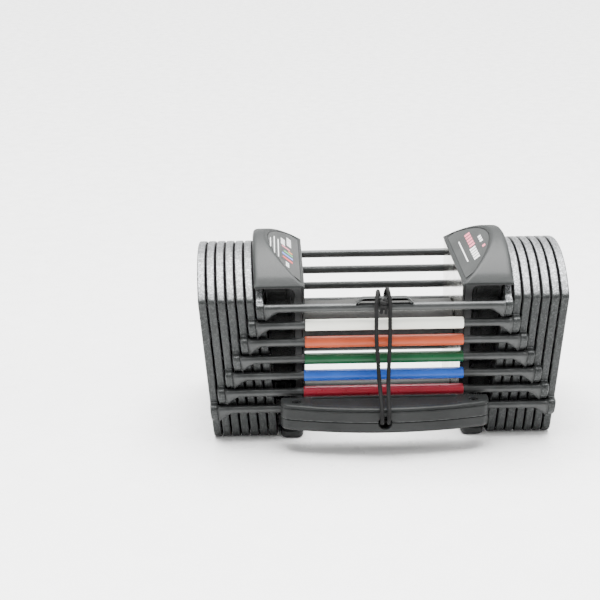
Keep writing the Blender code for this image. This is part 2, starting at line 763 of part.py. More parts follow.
def build_core():
    """Columns, cheeks, feet, caps, labels and the grip."""
    for side, word in ((-1, "left"), (1, "right")):
        build_column(side, word + "_column")
        build_cheek(side, word + "_cheek")
        build_foot(side, word + "_foot_pad")
        build_cap(side, word + "_cap")
        build_label(side, word + "_label")
    build_grip()
    build_lower_tube()


build_weights()
build_core()
build_pin()
build_cord(build_bail())
build_knot()
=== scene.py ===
# %% [markdown]
# # An adjustable block dumbbell on a white table
#
# The real thing is seven weights nested in one another round a handle block.
# A pin decides how many of them are lifted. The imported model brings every
# solid in its place, and this script adds the looks. The plain solids could
# be dressed with bevels and subdivision, but worked-out surfaces keep exact
# control of every edge, so most pieces are computed with numpy and stand in
# for their solids. Lengths are in millimetres from the middle plane of the
# plates until they go into a mesh, which is in metres.

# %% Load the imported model
import math

import bpy
import numpy as np
from mathutils import Matrix, Vector


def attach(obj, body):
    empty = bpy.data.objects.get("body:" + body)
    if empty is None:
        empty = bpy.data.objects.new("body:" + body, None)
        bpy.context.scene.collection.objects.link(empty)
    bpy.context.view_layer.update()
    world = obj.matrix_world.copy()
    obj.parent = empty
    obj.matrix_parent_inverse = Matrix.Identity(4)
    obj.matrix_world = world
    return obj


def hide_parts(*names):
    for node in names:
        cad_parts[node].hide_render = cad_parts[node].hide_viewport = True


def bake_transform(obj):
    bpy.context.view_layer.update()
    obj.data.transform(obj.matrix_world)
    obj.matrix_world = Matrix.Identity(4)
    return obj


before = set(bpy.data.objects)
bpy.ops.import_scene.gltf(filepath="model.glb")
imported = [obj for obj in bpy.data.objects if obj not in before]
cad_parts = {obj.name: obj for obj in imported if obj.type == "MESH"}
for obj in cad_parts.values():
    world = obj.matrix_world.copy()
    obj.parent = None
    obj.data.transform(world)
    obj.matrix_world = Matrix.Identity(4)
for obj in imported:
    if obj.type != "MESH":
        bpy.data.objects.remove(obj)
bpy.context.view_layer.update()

# %% [markdown]
# ## The camera and the light
#
# A long lens about a metre away looks down by nineteen degrees. Product
# pictures are lit by a wide soft box overhead. One large area lamp could
# stand for it, but its light falls off across the table and leaves the far
# part grey. A sun lamp with a very wide angle lights the table evenly, still
# casts soft shadows, and makes the tops of the plates brighter than their
# fronts. Two side lamps add the long glints on the rails.

# %% Camera
MM = 0.001
LENS_MM = 81.885
CAMERA_PLACE = Vector((-79.8, -981.85, 432.1)) * MM
CAMERA_LOOK = Vector((0.01918734, 0.94510592, -0.32620032))
CAMERA_UP = Vector((0.01750574, 0.3258928, 0.94524464))


def camera_turn(look, up):
    """Rotation whose -Z is the look direction and whose +Y is up."""
    back = -look.normalized()
    right = up.cross(back).normalized()
    return Matrix((right, back.cross(right), back)).transposed()


camera_data = bpy.data.cameras.new("table_camera")
camera_data.lens = LENS_MM
camera_data.sensor_width = 36.0
camera_data.clip_end = 20.0
camera = bpy.data.objects.new("table_camera", camera_data)
camera.matrix_world = (Matrix.Translation(CAMERA_PLACE)
                       @ camera_turn(CAMERA_LOOK, CAMERA_UP).to_4x4())
bpy.context.scene.collection.objects.link(camera)
bpy.context.scene.camera = camera
print("lens", LENS_MM, "mm, distance", round(CAMERA_PLACE.length, 3), "m")


# %% Lamps and room
def soft_lamp(name, place, target, size, power):
    """Rectangular area lamp that faces a target point."""
    data = bpy.data.lights.new(name, "AREA")
    data.shape = "RECTANGLE"
    data.size, data.size_y = size
    data.energy = power
    lamp = bpy.data.objects.new(name, data)
    aim = (Vector(place) - Vector(target)).to_track_quat("Z", "Y")
    lamp.matrix_world = Matrix.Translation(Vector(place)) @ aim.to_matrix().to_4x4()
    bpy.context.scene.collection.objects.link(lamp)


softbox_data = bpy.data.lights.new("top_softbox", "SUN")
softbox_data.energy = 17.0
softbox_data.angle = math.radians(58.0)
softbox = bpy.data.objects.new("top_softbox", softbox_data)
softbox.rotation_euler = (math.radians(-14.0), 0.0, 0.0)
bpy.context.scene.collection.objects.link(softbox)
soft_lamp("left_lamp", (-1.3, -0.5, 0.7), (0, 0, 0.08), (0.7, 0.9), 8.0)
soft_lamp("right_lamp", (1.3, -0.3, 0.7), (0, 0, 0.08), (0.7, 0.9), 12.0)
world = bpy.data.worlds.new("white_room")
world.use_nodes = True
world.node_tree.nodes["Background"].inputs["Color"].default_value = (1, 1, 1, 1)
world.node_tree.nodes["Background"].inputs["Strength"].default_value = 0.65
bpy.context.scene.world = world
print(len(bpy.data.lights), "lamps and a white room")

# %% [markdown]
# ## Finishes: small helpers for shader nodes
#
# No real surface is one flat colour: moulded plastic has a fine grain, a
# powder coat is hammered and speckled, and edges are rubbed brighter. Painted
# pictures could show that, but node patterns on Object coordinates need no
# picture and stay sharp from close by. A node group is a small program that
# several finishes share. The three groups put out values only; the Principled
# shader stays in each finish, with its plain numbers on its own sockets.


# %% Node helpers
def add(tree, kind, **sockets):
    """New node with its plain socket values set by name or number."""
    node = tree.nodes.new(kind)
    for name, value in sockets.items():
        key = int(name[1:]) if name[0] == "_" else name.replace("_", " ")
        node.inputs[key].default_value = value
    return node


def wire(tree, source, out, target, into):
    """Link one output to one input."""
    tree.links.new(source.outputs[out], target.inputs[into])


def new_group(name, inputs, outputs):
    """Empty node group with named float inputs and outputs."""
    tree = bpy.data.node_groups.new(name, "ShaderNodeTree")
    for label, value in inputs:
        socket = tree.interface.new_socket(label, in_out="INPUT",
                                           socket_type="NodeSocketFloat")
        socket.default_value = value
    for label in outputs:
        tree.interface.new_socket(label, in_out="OUTPUT",
                                  socket_type="NodeSocketFloat")
    return tree, tree.nodes.new("NodeGroupInput"), tree.nodes.new("NodeGroupOutput")


def remap(tree, source, out, low, high, to_low=0.0, to_high=1.0):
    """Map Range node with clamping, fed by one output."""
    node = add(tree, "ShaderNodeMapRange", From_Min=low, From_Max=high,
               To_Min=to_low, To_Max=to_high)
    wire(tree, source, out, node, "Value")
    return node


print("node helpers: add, wire, new_group, remap")


# %% Group: fine grain
def make_grain_group():
    """Noise at two sizes; Grain is fine, Cloud is broad, both 0 to 1."""
    tree, start, end = new_group("fine_grain", [("Scale", 900.0)],
                                 ["Grain", "Cloud"])
    spot = tree.nodes.new("ShaderNodeTexCoord")
    fine = add(tree, "ShaderNodeTexNoise", Detail=4.0, Roughness=0.6)
    broad = add(tree, "ShaderNodeTexNoise", Scale=38.0, Detail=3.0)
    wire(tree, spot, "Object", fine, "Vector")
    wire(tree, spot, "Object", broad, "Vector")
    wire(tree, start, "Scale", fine, "Scale")
    wire(tree, remap(tree, fine, 0, 0.3, 0.7), 0, end, "Grain")
    wire(tree, remap(tree, broad, 0, 0.32, 0.68), 0, end, "Cloud")
    return tree


GRAIN = make_grain_group()
print("group", GRAIN.name)


# %% Group: hammered speckle
def make_speckle_group():
    """Hammered coat: rounded cells for height, sparse cells for sparkle."""
    tree, start, end = new_group("hammered_speckle", [("Scale", 620.0)],
                                 ["Height", "Sparkle"])
    spot = tree.nodes.new("ShaderNodeTexCoord")
    cells = add(tree, "ShaderNodeTexVoronoi", Randomness=1.0)
    cells.feature = "SMOOTH_F1"
    cells.inputs["Smoothness"].default_value = 0.6
    grit = add(tree, "ShaderNodeTexVoronoi")
    bends = add(tree, "ShaderNodeTexNoise", Scale=420.0, Detail=3.0)
    wire(tree, spot, "Object", cells, "Vector")
    wire(tree, spot, "Object", grit, "Vector")
    wire(tree, spot, "Object", bends, "Vector")
    wire(tree, start, "Scale", cells, "Scale")
    bigger = add(tree, "ShaderNodeMath", _1=1.9)
    bigger.operation = "MULTIPLY"
    wire(tree, start, "Scale", bigger, 0)
    wire(tree, bigger, 0, grit, "Scale")
    mix = tree.nodes.new("ShaderNodeMath")
    mix.operation = "ADD"
    wire(tree, remap(tree, cells, "Distance", 0.1, 0.75, 1.0, 0.0), 0, mix, 0)
    wire(tree, remap(tree, bends, 0, 0.3, 0.7), 0, mix, 1)
    wire(tree, remap(tree, mix, 0, 0.0, 2.0), 0, end, "Height")
    split = tree.nodes.new("ShaderNodeSeparateColor")
    wire(tree, grit, "Color", split, 0)
    wire(tree, remap(tree, split, 0, 0.55, 1.0), 0, end, "Sparkle")
    return tree


SPECKLE = make_speckle_group()
print("group", SPECKLE.name)


# %% Group: worn edges
def make_wear_group():
    """1 on sharp outer edges, broken up by noise, 0 on flats and in corners."""
    tree, start, end = new_group("worn_edges", [("Low", 0.53), ("High", 0.62)],
                                 ["Edge"])
    shape = tree.nodes.new("ShaderNodeNewGeometry")
    spot = tree.nodes.new("ShaderNodeTexCoord")
    noise = add(tree, "ShaderNodeTexNoise", Scale=260.0, Detail=5.0)
    wire(tree, spot, "Object", noise, "Vector")
    edge = tree.nodes.new("ShaderNodeMapRange")
    wire(tree, shape, "Pointiness", edge, "Value")
    wire(tree, start, "Low", edge, "From Min")
    wire(tree, start, "High", edge, "From Max")
    times = tree.nodes.new("ShaderNodeMath")
    times.operation = "MULTIPLY"
    wire(tree, edge, 0, times, 0)
    wire(tree, remap(tree, noise, 0, 0.4, 0.6), 0, times, 1)
    wire(tree, times, 0, end, "Edge")
    return tree


WEAR = make_wear_group()
print("group", WEAR.name)


# %% A finish from two colours and a bump
def colour_between(tree, mask, out, low, high):
    """Mix node between two colours, steered by a mask."""
    node = tree.nodes.new("ShaderNodeMix")
    node.data_type = "RGBA"
    node.inputs[6].default_value = (*low, 1)
    node.inputs[7].default_value = (*high, 1)
    wire(tree, mask, out, node, 0)
    return node


def finish(name, dark, light, rough, metallic=0.0, grain=900.0, bump=0.00004,
           edge=None, speckle=None, sparkle=None, top=None, painted_glint=None, low_z=0.3,
           high_z=0.8, above=0.0, specular=0.5):
    """Finish with cloudy colour, grain in roughness and height, worn edges.

    top is a lighter colour painted on faces that look up, a painted highlight standing for
    the light from overhead, and painted_glint the colour of its painted bright glints. It
    comes in where the normal's upward part goes from low_z to high_z, and only higher than
    above, in metres.
    """
    mat = bpy.data.materials.new(name)
    mat.use_nodes = True
    tree = mat.node_tree
    shader = tree.nodes["Principled BSDF"]
    shader.inputs["Metallic"].default_value = metallic
    shader.inputs["Specular IOR Level"].default_value = specular
    noise = tree.nodes.new("ShaderNodeGroup")
    noise.node_tree = GRAIN
    noise.inputs["Scale"].default_value = grain
    colour = colour_between(tree, noise, "Cloud", dark, light)
    height, height_out = noise, "Grain"
    if speckle:
        cells = tree.nodes.new("ShaderNodeGroup")
        cells.node_tree = SPECKLE
        cells.inputs["Scale"].default_value = speckle
        height, height_out = cells, "Height"
        bright = colour_between(tree, cells, "Sparkle", light, sparkle)
        wire(tree, colour, 2, bright, 6)
        colour = bright
    # Painted light: upward faces get the lighter top colour and painted glints, standing for
    # the light from overhead.
    if top:
        shape = tree.nodes.new("ShaderNodeNewGeometry")
        split = tree.nodes.new("ShaderNodeSeparateXYZ")
        wire(tree, shape, "Normal", split, 0)
        spot = tree.nodes.new("ShaderNodeTexCoord")
        place = tree.nodes.new("ShaderNodeSeparateXYZ")
        wire(tree, spot, "Object", place, 0)
        mask = tree.nodes.new("ShaderNodeMath")
        mask.operation = "MULTIPLY"
        wire(tree, remap(tree, split, "Z", low_z, high_z), 0, mask, 0)
        wire(tree, remap(tree, place, "Z", above, above + 0.002), 0, mask, 1)
        painted_light_and_wear = colour_between(tree, mask, 0, light, top)
        painted_glint_mask = "Sparkle" if speckle else "Cloud"
        spots = colour_between(tree, height, painted_glint_mask, top, painted_glint or top)
        wire(tree, colour, 2, painted_light_and_wear, 6)
        wire(tree, spots, 2, painted_light_and_wear, 7)
        colour = painted_light_and_wear
    if edge:
        worn = tree.nodes.new("ShaderNodeGroup")
        worn.node_tree = WEAR
        painted_light_and_wear = colour_between(tree, worn, "Edge", light, edge)
        wire(tree, colour, 2, painted_light_and_wear, 6)
        colour = painted_light_and_wear
    wire(tree, colour, 2, shader, "Base Color")
    wire(tree, remap(tree, noise, "Grain", 0, 1, rough - 0.07, rough + 0.07), 0,
         shader, "Roughness")
    relief = tree.nodes.new("ShaderNodeBump")
    relief.inputs["Strength"].default_value = 0.8
    relief.inputs["Distance"].default_value = bump
    wire(tree, height, height_out, relief, "Height")
    wire(tree, relief, "Normal", shader, "Normal")
    return mat


# The lighter tops in this mix are painted light; the brighter edges are wear.
print("finish() mixes cloud, speckle, rubbed tops and worn edges, in that order")

# %% [markdown]
# ### The finishes of this dumbbell
#
# The plates wear a hammered gunmetal coat; the upward faces of the plates and the caps are
# painted lighter, a painted highlight of the light from overhead, and the plates' tops carry
# painted glints.
# Rails are satin black, sleeves are coloured vinyl, the caps, columns and pin
# handle are moulded plastic, and the cheeks are polished steel. Each could
# have its own node tree built by hand; one finish function with different
# values is shorter and keeps the family alike.

# %% Finish values
# The plates' top colour and glints are painted light: faces above the crease that look up
# are painted lighter, with painted bright glints, as if lit from overhead.
COAT = finish("hammered_coat", (0.017, 0.018, 0.018), (0.029, 0.031, 0.0305), 0.38,
              metallic=0.4, bump=0.0002, speckle=760.0, specular=0.22,
              sparkle=(0.055, 0.058, 0.058), edge=(0.06, 0.063, 0.063),
              top=(0.11, 0.113, 0.115), painted_glint=(0.40, 0.41, 0.425), low_z=0.70,
              high_z=0.84, above=0.108)
RAIL = finish("satin_black_rail", (0.023, 0.0245, 0.024), (0.039, 0.041, 0.041), 0.36,
              metallic=0.3, bump=0.00012, grain=800.0, specular=0.4,
              edge=(0.10, 0.10, 0.10))
NYLON = finish("black_nylon", (0.007, 0.008, 0.008), (0.014, 0.015, 0.015), 0.5,
               bump=0.00006, specular=0.35)
CHEEK = finish("polished_cheek", (0.36, 0.355, 0.32), (0.62, 0.615, 0.57), 0.15,
               metallic=1.0, bump=0.00004, grain=160.0)
# The cap's top colour is painted light: its upward faces are painted lighter, as if lit from
# overhead.
CAP = finish("moulded_grey_cap", (0.010, 0.011, 0.0108), (0.016, 0.0172, 0.017), 0.42,
             bump=0.00009, grain=1100.0, specular=0.16, edge=(0.05, 0.053, 0.052),
             top=(0.031, 0.033, 0.0325))
LABEL = finish("satin_label", (0.042, 0.044, 0.043), (0.056, 0.059, 0.058), 0.36,
               bump=0.00003, grain=1300.0, specular=0.25)
HANDLE = finish("moulded_pin_handle", (0.011, 0.012, 0.0118), (0.018, 0.0192, 0.019),
                0.42, bump=0.00008, grain=1000.0, specular=0.16,
                edge=(0.05, 0.053, 0.052))
RUBBER = finish("grip_rubber", (0.022, 0.022, 0.021), (0.038, 0.038, 0.036), 0.7,
                bump=0.0002, grain=520.0, specular=0.25)
STEEL = finish("bare_steel", (0.34, 0.34, 0.33), (0.5, 0.5, 0.48), 0.26,
               metallic=1.0, bump=0.00003, edge=(0.7, 0.7, 0.7))
SCREW = finish("black_screw", (0.012, 0.012, 0.012), (0.025, 0.025, 0.025), 0.35,
               metallic=0.6, bump=0.00003)
SLEEVES = {
    colour: finish("sleeve_" + colour, dark, light, rough, bump=0.00006, grain=420.0,
                   specular=gloss)
    for colour, dark, light, rough, gloss in [
        ("white", (0.74, 0.75, 0.67), (0.83, 0.84, 0.76), 0.42, 0.3),
        ("orange", (0.33, 0.050, 0.017), (0.40, 0.066, 0.024), 0.36, 0.28),
        ("green", (0.003, 0.048, 0.016), (0.005, 0.064, 0.022), 0.34, 0.25),
        ("blue", (0.008, 0.060, 0.33), (0.013, 0.085, 0.42), 0.34, 0.28),
        ("red", (0.22, 0.006, 0.016), (0.29, 0.010, 0.026), 0.32, 0.35)]}
PRINTS = {
    colour: finish("print_" + colour, dark, light, 0.45)
    for colour, dark, light in [
        ("white", (0.72, 0.73, 0.72), (0.86, 0.87, 0.86)),
        ("pink", (0.66, 0.16, 0.22), (0.78, 0.24, 0.30)),
        ("green", (0.10, 0.38, 0.14), (0.16, 0.5, 0.2)),
        ("blue", (0.12, 0.2, 0.6), (0.2, 0.3, 0.72)),
        ("red", (0.55, 0.06, 0.07), (0.7, 0.1, 0.1)),
        ("orange", (0.66, 0.22, 0.08), (0.78, 0.3, 0.12))]}
print(len(bpy.data.materials), "finishes and solid-model materials")

# %% [markdown]
# ## Surfaces as arrays
#
# Every new piece is a grid of points: rings of equal size, one after another.
# Plates, rods, hoods and cords are all of this kind, so one function can turn
# any of them into a closed mesh. Normals could be recalculated afterwards,
# but it is surer to measure the signed volume, the sum of a . (b x c) over
# all triangles: if it is negative, the faces are turned round, so that they
# always point outwards.

# %% Grid to mesh
MIDDLE_Y = 10.75


def skin(name, rings, look, body, wrap=False, sharp=38.0):
    """Closed mesh from rings (rows, columns, xyz) in millimetres.

    A flat face closes the first and the last ring, unless wrap joins the last
    ring to the first instead.
    """
    rows, cols = rings.shape[:2]
    points = rings.reshape(-1, 3) + np.array([0.0, MIDDLE_Y, 0.0])
    index = np.arange(rows * cols).reshape(rows, cols)
    upper = np.roll(index, -1, 0) if wrap else index[1:]
    lower = index if wrap else index[:-1]
    quads = np.stack([lower, np.roll(lower, -1, 1), np.roll(upper, -1, 1), upper],
                     -1).reshape(-1, 4)
    faces = quads.tolist()
    if not wrap:
        faces += [index[0][::-1].tolist(), index[-1].tolist()]
    a, b, c, d = (points[quads[:, i]] for i in range(4))
    volume = np.einsum("ij,ij->i", a, np.cross(b, c) + np.cross(c, d)).sum()
    if not wrap:
        for ring in (points[index[0][::-1]], points[index[-1]]):
            volume += np.einsum("ij,ij->i", np.repeat(ring[:1], cols - 2, 0),
                                np.cross(ring[1:-1], ring[2:])).sum()
    if volume < 0:
        faces = [face[::-1] for face in faces]
    mesh = bpy.data.meshes.new(name)
    mesh.from_pydata((points * MM).tolist(), [], faces)
    mesh.polygons.foreach_set("use_smooth", np.ones(len(mesh.polygons), bool))
    mesh.set_sharp_from_angle(angle=math.radians(sharp))
    mesh.materials.append(look)
    piece = bpy.data.objects.new(name, mesh)
    bpy.context.scene.collection.objects.link(piece)
    if body:
        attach(piece, body)
    return piece


print("skin() is ready; the plates' middle plane is at y =", MIDDLE_Y, "mm")


# %% Outlines with soft corners
def even_loop(corners, step):
    """Closed polygon resampled at even steps along its length."""
    loop = np.vstack([corners, corners[:1]])
    run = np.concatenate([[0], np.cumsum(np.hypot(*np.diff(loop, axis=0).T))])
    spots = np.linspace(0, run[-1], int(run[-1] / step), endpoint=False)
    return np.stack([np.interp(spots, run, loop[:, i]) for i in (0, 1)], -1)


def soften(loop, spread):
    """Circular Gaussian average of a closed loop; spread is in points."""
    reach = int(3 * spread) + 1
    shifts = np.arange(-reach, reach + 1)
    weights = np.exp(-0.5 * (shifts / spread) ** 2)
    moved = np.stack([np.roll(loop, shift, 0) for shift in shifts])
    return np.tensordot(weights / weights.sum(), moved, 1)


def shrink(loop, distance):
    """Move an anticlockwise loop inward along its own normals."""
    along = np.roll(loop, -1, 0) - np.roll(loop, 1, 0)
    along /= np.linalg.norm(along, axis=1)[:, None] + 1e-9
    return loop + distance * np.stack([-along[:, 1], along[:, 0]], -1)


def slab(name, loop, near, far, axis, edge, look, body):
    """Solid with a given side outline and quarter-round edges.

    A ring at angle t lies edge * (1 - sin t) under a face and is shrunk by
    edge * (1 - cos t). near and far give the place of the two faces along the
    axis (0 for X, 1 for Y) as functions of height.
    """
    turns = np.radians([90.0, 67.5, 45.0, 22.5, 0.0])
    inner = shrink(loop, edge + 0.5)
    rows = [(inner, 0.0)]
    rows += [(shrink(loop, edge * (1 - math.cos(t))), edge * (1 - math.sin(t)))
             for t in turns]
    rows.append((loop, edge + 0.3))
    rings = []
    for face, sign, order in ((near, 1, rows), (far, -1, rows[::-1])):
        for outline, depth in order:
            height = outline[:, 1]
            away = np.sign(far(height) - near(height)) * sign * depth
            main = face(height) + away
            columns = [main, outline[:, 0], height]
            if axis == 1:
                columns = [outline[:, 0], main, height]
            rings.append(np.stack(columns, -1))
    return skin(name, np.array(rings), look, body)


print("outline helpers: even_loop, soften, shrink, slab")

# %% [markdown]
# ## The plates
#
# Each weight has a left and a right cast plate with a slight lean. Its side
# outline has flat feet, a steep front edge, a boss at the height of the rail,
# a crease and a round top. A bevel on every corner would treat them all
# alike; here the outline is a polygon whose corners are softened by a running
# average, as sand casting softens them, and the slab function carries it
# through the plate's thickness.

# %% Sizes of the plates, as in the solid model
WEIGHTS = range(1, 8)
PLATE_THICK = 5.9
CREST_Z, CREST_RADIUS = 134.0, 93.0
TOP_RAIL_Z, RAIL_PITCH = 106.0, 13.3
RAIL_RADIUS = 3.05
BOSS = np.array([(0.0, -9.7), (3.4, -9.2), (6.2, -6.4), (7.2, -2.0), (7.2, 1.2),
                 (5.4, 3.4), (0.0, 4.2)])


def plate_half_depth(z):
    """Half depth of the plates: 57 mm at the floor, 0.0476 more per mm."""
    return 57.0 + 0.0476 * z


def plate_outer_x(weight, z):
    """Outer face of a plate: it leans in by 0.078 per mm below the crease."""
    return 134.9 - (7 - weight) * 6.95 - (112.0 - z) * 0.078


def plate_inner_x(weight, z):
    """Inner face of a plate."""
    return plate_outer_x(weight, z) - PLATE_THICK


def rail_z(weight):
    """Height of a weight's rails."""
    return TOP_RAIL_Z - (weight - 1) * RAIL_PITCH


def rail_y(weight):
    """Distance of the rails from the middle plane."""
    return plate_half_depth(rail_z(weight)) + 3.9


print("rail heights:", [round(rail_z(weight), 1) for weight in WEIGHTS])


# %% Plate outline
def plate_loop(weight):
    """Half outline from the floor to the crest, mirrored to the other side."""
    turns = np.radians(np.linspace(-90, -10, 7))
    foot = np.stack([50.3 + 7 * np.cos(turns), 7 + 7 * np.sin(turns)], -1)
    boss_z = rail_z(weight) + BOSS[:, 1]
    boss = np.stack([plate_half_depth(boss_z) + BOSS[:, 0], boss_z], -1)
    depth = np.linspace(60.6, 2.0, 22)
    top = np.stack([depth, CREST_Z - CREST_RADIUS
                    + np.sqrt(CREST_RADIUS ** 2 - depth ** 2)], -1)
    relief = np.array([(2.0, 3.0), (20.0, 2.3), (36.0, 0.6), (42.0, 0.0)])
    front = [] if weight == 1 else [(plate_half_depth(109.8), 109.8)]
    half = np.vstack([relief, foot, boss] + ([front] if front else []) + [top])
    whole = np.vstack([half, half[::-1] * np.array([-1.0, 1.0])])
    return soften(even_loop(whole, 0.85), 1.1)


def make_plate(weight, side, name):
    """Plate between its outer and inner face, on the left or right."""
    piece = slab(name + "_cast", plate_loop(weight),
                 lambda z: side * plate_outer_x(weight, z),
                 lambda z: side * plate_inner_x(weight, z), 0, 1.15, COAT,
                 "outer_weight" if weight == 7 else "lifted_block")
    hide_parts(name)


for weight in WEIGHTS:
    make_plate(weight, -1, "weight_%d_left_plate" % weight)
    make_plate(weight, 1, "weight_%d_right_plate" % weight)
print("14 plates,", len(plate_loop(3)), "points round each outline")

# %% [markdown]
# ## The rails
#
# A rail is a rod of 6.1 mm. Near each end the casting draws it down into a
# triangular web and flares it where it meets the plate. A rod and a wedge
# could be joined with a boolean, but the joint would be a hard line. So one
# surface does both: the section is a circle whose lower half is stretched by
# a share that falls from one to nothing over the web's ten millimetres.

# %% Rails
def rail_rings(weight, side, facing, runs, sides=32):
    """Sections of one rail end, from the plate towards the middle."""
    turn = np.linspace(0, 2 * np.pi, sides, endpoint=False)[None, :]
    run = runs[:, None]
    share = np.clip(1 - run / 10.0, 0, 1)
    flare = 0.9 * np.clip(1 - run / 1.8, 0, 1) ** 2
    drop = RAIL_RADIUS + 6.6 * share ** 1.15
    width = RAIL_RADIUS + 0.25 * np.minimum(3 * share, 1) + flare
    up = np.sin(turn)
    z = rail_z(weight) + np.where(up > 0, (RAIL_RADIUS + 0.5 * flare) * up, drop * up)
    taper = np.where(up < 0, 1 - 0.35 * share * up * up, 1.0)
    y = facing * rail_y(weight) + width * np.cos(turn) * taper
    x = side * (plate_inner_x(weight, z) + 0.15 - run)
    return np.stack([x, y + 0 * x, z + 0 * x], -1)


def make_rail(weight, facing, name):
    """Whole rail from the left plate to the right plate."""
    runs = np.array([0, 0.3, 0.7, 1.2, 1.8, 2.8, 4.0, 5.3, 6.6, 8.0, 9.2, 10.2, 12.0])
    rings = np.concatenate([rail_rings(weight, -1, facing, runs),
                            rail_rings(weight, 1, facing, runs[::-1])])
    piece = skin(name + "_rod", rings, RAIL,
                 "outer_weight" if weight == 7 else "lifted_block")
    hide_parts(name)


for weight in WEIGHTS:
    make_rail(weight, -1, "weight_%d_front_rail" % weight)
    make_rail(weight, 1, "weight_%d_rear_rail" % weight)
print("14 rails")

# %% [markdown]
# ## Tubes and turned parts
#
# Sleeves, prongs, the grip, the low spacer tube and the screws are round
# things. The Screw modifier could spin their profiles; doing it with two
# arrays, a profile of (distance along, radius) pairs and a row of angles,
# also allows ripples that change with both, such as the grip's pattern.


# %% Turned shapes
def turned(name, axis, centre, profile, look, body, sides=40, hollow=False,
           ripple=None, sharp=38.0):
    """Profile of (along, radius) rows carried round an axis through a centre."""
    turn = np.linspace(0, 2 * np.pi, sides, endpoint=False)[None, :]
    along, radius = profile[:, :1], profile[:, 1:2]
    radius = radius + (ripple(along, turn) if ripple else 0.0)
    side_a = radius * np.cos(turn)
    side_b = radius * np.sin(turn)
    straight = along + 0 * turn
    order = {"x": (straight, side_a, side_b), "y": (side_a, straight, side_b),
             "z": (side_a, side_b, straight)}[axis]
    rings = np.stack(order, -1) + np.array(centre, float)
    return skin(name, rings, look, body, wrap=hollow, sharp=sharp)


SLEEVE_RADIUS, SLEEVE_BORE, SLEEVE_CUT = 4.15, 3.3, 0.55
SLEEVE_HALF = {2: 57.3, 3: 57.7, 4: 58.0, 5: 58.5, 6: 58.9}
SLEEVE_NAME = {2: "white", 3: "orange", 4: "green", 5: "blue", 6: "red"}
for weight, half in SLEEVE_HALF.items():
    name = "sleeve_" + SLEEVE_NAME[weight]
    stations = np.linspace(-half + 1.2, half - 1.2, 60)
    outer = SLEEVE_RADIUS + 0.035 * np.sin(stations * 0.31 + weight) * np.cos(
        stations * 0.07)
    end = np.array([(half, SLEEVE_BORE), (half, SLEEVE_RADIUS - SLEEVE_CUT),
                    (half - 0.17, SLEEVE_RADIUS - 0.17),
                    (half - SLEEVE_CUT, SLEEVE_RADIUS)])
    profile = np.vstack([end * (-1, 1), np.stack([stations, outer], -1), end[::-1]])
    piece = turned(name + "_vinyl", "x", (0, -rail_y(weight), rail_z(weight)), profile,
                   SLEEVES[SLEEVE_NAME[weight]], "lifted_block", hollow=True)
    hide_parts(name)
print("5 sleeves")

# %% Grip and spacer tube
GRIP_Z = 73.0
stations = np.linspace(-56.6, 56.6, 190)
swell = 15.3 + 0.9 * np.exp(-(stations / 22.0) ** 2) - 0.4 * np.exp(
    -((np.abs(stations) - 36.0) / 9.0) ** 2)
profile = np.vstack([[(-57.0, 9.6), (-57.0, 14.4)], np.stack([stations, swell], -1),
                     [(57.0, 14.4), (57.0, 9.6)]])


def finger_ribs(along, turn):
    """Shallow rings with a diamond pattern pressed into the rubber."""
    inside = np.clip((54.0 - np.abs(along)) / 2.0, 0, 1)
    return 0.16 * inside * np.sin(along * 1.9 + 10 * turn) * np.sin(
        along * 1.9 - 10 * turn)


piece = turned("grip_sleeve_rubber", "x", (0, 0, GRIP_Z), profile, RUBBER,
               "lifted_block", sides=96, hollow=True, ripple=finger_ribs)
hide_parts("grip_sleeve")
profile = np.array([(-57.3, 6.1), (-57.3, 8.0), (-56.9, 8.4), (56.9, 8.4), (57.3, 8.0),
                    (57.3, 6.1)])
piece = turned("lower_tube_spacer", "x", (0, 0, 14.0), profile, NYLON, "lifted_block",
               sides=48, hollow=True)
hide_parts("lower_tube")
print("grip and spacer tube")

# %% [markdown]
# ## Columns, cheeks and foot pads
#
# The columns are combs: eight slots with round roots are open towards the
# plates, and one of them holds a prong of the pin. Eight boolean cuts would
# do, but the slots run straight through, so the comb outline is drawn in the
# X-Z plane and carried along Y in one go. The cheeks are flat sheet and the
# grip's core is a hidden rod: both keep their solid shape and get a finish.


# %% Comb columns
COLUMN_X, COLUMN_LOW, COLUMN_HIGH = 59.3, 5.6, 119.2
SLOT_COUNT, SLOT_RADIUS, SLOT_ROOT_X = 8, 3.8, 69.3


def column_half_depth(z):
    """Half depth of a column: 47.4 mm at the floor, 0.073 more per mm."""
    return 47.4 + 0.073 * z


def comb_loop():
    """Column outline with eight slots, anticlockwise in (outward, height)."""
    def outer(z):
        return plate_inner_x(1, z) - 1.2

    low = np.array([(COLUMN_X, COLUMN_LOW), (outer(COLUMN_LOW), COLUMN_LOW)])
    turns = np.radians(np.linspace(-90, 90, 7))
    slots = []
    for number in range(SLOT_COUNT):
        centre = TOP_RAIL_Z + (number - 6.5) * RAIL_PITCH
        root = np.stack([SLOT_ROOT_X - SLOT_RADIUS * np.cos(turns),
                         centre + SLOT_RADIUS * np.sin(turns)], -1)
        mouth = [(outer(z), z) for z in (centre - SLOT_RADIUS, centre + SLOT_RADIUS)]
        slots.append(np.vstack([mouth[:1], root, mouth[1:]]))
    high = np.array([(outer(COLUMN_HIGH), COLUMN_HIGH), (COLUMN_X, COLUMN_HIGH)])
    return soften(even_loop(np.vstack([low] + slots + [high]), 0.55), 0.9)


def foot_rings():
    """Pad rings: a rounded box that draws in towards the floor."""
    heights = np.array([0.0, 0.12, 0.45, 1.0, 1.8, 3.0, 5.2])
    cuts = np.array([1.9, 1.1, 0.55, 0.2, 0.0, 0.0, 0.0])
    turn = np.linspace(0, 2 * np.pi, 64, endpoint=False)
    corner = 5.0
    x = np.sign(np.cos(turn)) * 3.35 + corner * np.cos(turn)
    y = np.sign(np.sin(turn)) * 53.2 + corner * np.sin(turn)
    rings = []
    for height, cut in zip(heights, cuts):
        pull = np.array([1 - cut / 8.35, 1 - cut / 58.2])
        rings.append(np.stack([67.65 + x * pull[0], y * pull[1], 0 * x + height], -1))
    return np.array(rings)


